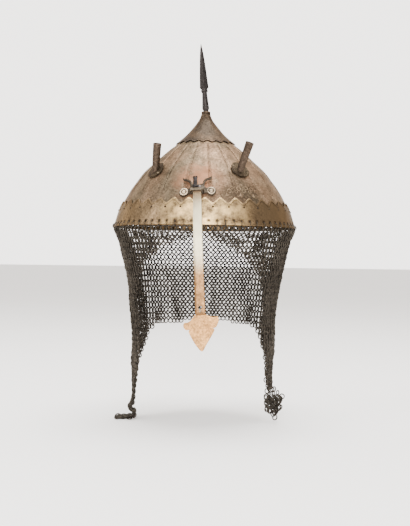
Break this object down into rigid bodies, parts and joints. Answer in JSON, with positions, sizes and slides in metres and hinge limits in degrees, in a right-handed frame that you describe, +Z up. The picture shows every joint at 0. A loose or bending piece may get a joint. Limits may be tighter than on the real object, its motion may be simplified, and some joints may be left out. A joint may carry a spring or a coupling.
{
  "type": "kulah khud helmet",
  "caption": "Spiked iron helmet bowl with a toothed rim band, plume tubes, a sliding nasal bar with leaf end, and a curtain of mail with long side tails.",
  "frame": {"origin": "centre of the bowl's mouth, in the plane of the band's lower edge", "axes": "+Z up through the spike, -Y out of the face opening towards the front, +X to the viewer's right from the front"},
  "size_m": [0.2058, 0.2395, 0.4248],
  "materials": {
    "skull_bowl": "worn fluted iron, brown-grey with pinkish patches",
    "rim_band": "worn iron with pale brassy wear at the front",
    "apex_cap": "tan-grey worn iron",
    "spike": "dark grey forged iron",
    "plume_holder": "dark brown-grey iron",
    "rivets": "worn bright rivet heads",
    "nasal_bracket": "worn steel",
    "nasal_bar": "pale worn steel, tan lower down",
    "nasal_leaf": "speckled beige, pitted",
    "nasal_stop": "dark iron",
    "mail": "dark grey-brown iron rings"
  },
  "bodies": {
    "shell": {"skull_bowl": "skull_bowl", "rim_band": "rim_band", "apex_cap": "apex_cap", "spike": "spike", "plume_holder_left": "plume_holder", "plume_holder_right": "plume_holder", "plume_rivet_left_1": "rivets", "plume_rivet_left_2": "rivets", "plume_rivet_right_1": "rivets", "plume_rivet_right_2": "rivets", "nasal_bracket": "nasal_bracket", "bracket_rivet_left": "rivets", "bracket_rivet_right": "rivets", "mail_curtain": "mail"},
    "nasal": {"nasal_bar": "nasal_bar", "nasal_leaf": "nasal_leaf", "leaf_rivet": "rivets", "nasal_stop": "nasal_stop"}
  },
  "joints": [
    {"name": "nasal_slide", "type": "hinge", "parent": "shell", "child": "nasal", "pos_m": [0.01301, 0.2629, -0.14955], "axis": [-0.9976, 0, -0.0698], "range_deg": [0, 14]}
  ]
}
